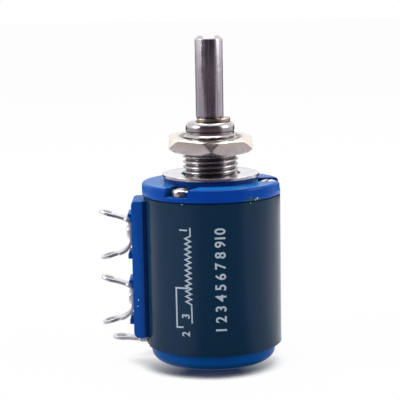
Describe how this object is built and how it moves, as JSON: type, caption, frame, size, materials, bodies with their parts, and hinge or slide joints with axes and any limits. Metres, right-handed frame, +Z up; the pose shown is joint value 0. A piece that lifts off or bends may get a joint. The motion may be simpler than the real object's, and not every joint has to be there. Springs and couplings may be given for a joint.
{
  "type": "multiturn potentiometer",
  "caption": "Small round wirewound multiturn potentiometer with a threaded bushing, plain shaft and side solder lugs, standing on its rear cover.",
  "frame": {"origin": "on the shaft axis, at the base plane of the rear cover", "axes": "+Z up along the shaft, -X towards the solder lugs"},
  "size_m": [0.0266, 0.0202, 0.0474],
  "materials": {
    "cap_plastic": "gloss blue moulding",
    "tube_plastic": "dark blue moulding",
    "cover_plastic": "gloss blue moulding",
    "strip_plastic": "satin blue moulding",
    "film": "satin dark blue film",
    "nickel_plate": "bright nickel plate on brass",
    "nut_nickel": "satin nickel plate",
    "washer_steel": "bright zinc plate",
    "screw_steel": "bright zinc plate",
    "ground_steel": "ground and polished",
    "clip_bronze": "spring bronze",
    "tinned_brass": "tinned",
    "spring_brass": "bare",
    "copper_lead": "bare wire",
    "resistance_wire": "close-wound wire",
    "rotor_plastic": "moulded phenolic",
    "carriage_plastic": "moulded nylon"
  },
  "bodies": {
    "root": {"front_cap": "cap_plastic", "bushing": "nickel_plate", "flat_washer": "washer_steel", "cap_screws": "screw_steel", "housing_tube": "tube_plastic", "rear_cover": "cover_plastic", "sleeve_film": "film", "terminal_strip": "strip_plastic", "start_terminal": "tinned_brass", "end_terminal": "tinned_brass", "wiper_terminal": "tinned_brass", "terminal_rivets": "tinned_brass", "resistance_coil": "resistance_wire", "start_lead": "copper_lead", "end_lead": "copper_lead", "thrust_washer": "spring_brass", "ring_brush": "clip_bronze"},
    "rotor": {"shaft": "ground_steel", "retaining_clip": "clip_bronze", "rotor": "rotor_plastic", "pickup_rail": "spring_brass", "slip_ring": "spring_brass"},
    "carriage": {"wiper_carriage": "carriage_plastic", "wiper_contact": "spring_brass"},
    "nut": {"hex_nut": "nut_nickel"}
  },
  "joints": [
    {"name": "shaft_turn", "type": "hinge", "parent": "root", "child": "rotor", "pos_m": [0, 0, 0.03], "axis": [0, 0, 1], "range_deg": [-1800, 1800]},
    {"name": "carriage_slide", "type": "slide", "parent": "rotor", "child": "carriage", "axis": [0, 0, 1], "range_m": [-0.00802, 0.00802]},
    {"name": "nut_lift", "type": "slide", "parent": "root", "child": "nut", "axis": [0, 0, 1], "range_m": [-0.0029, 0.0171]}
  ],
  "couplings": [
    {"joint": "carriage_slide", "follows": "shaft_turn", "m_per_rad": 0.00025465}
  ]
}
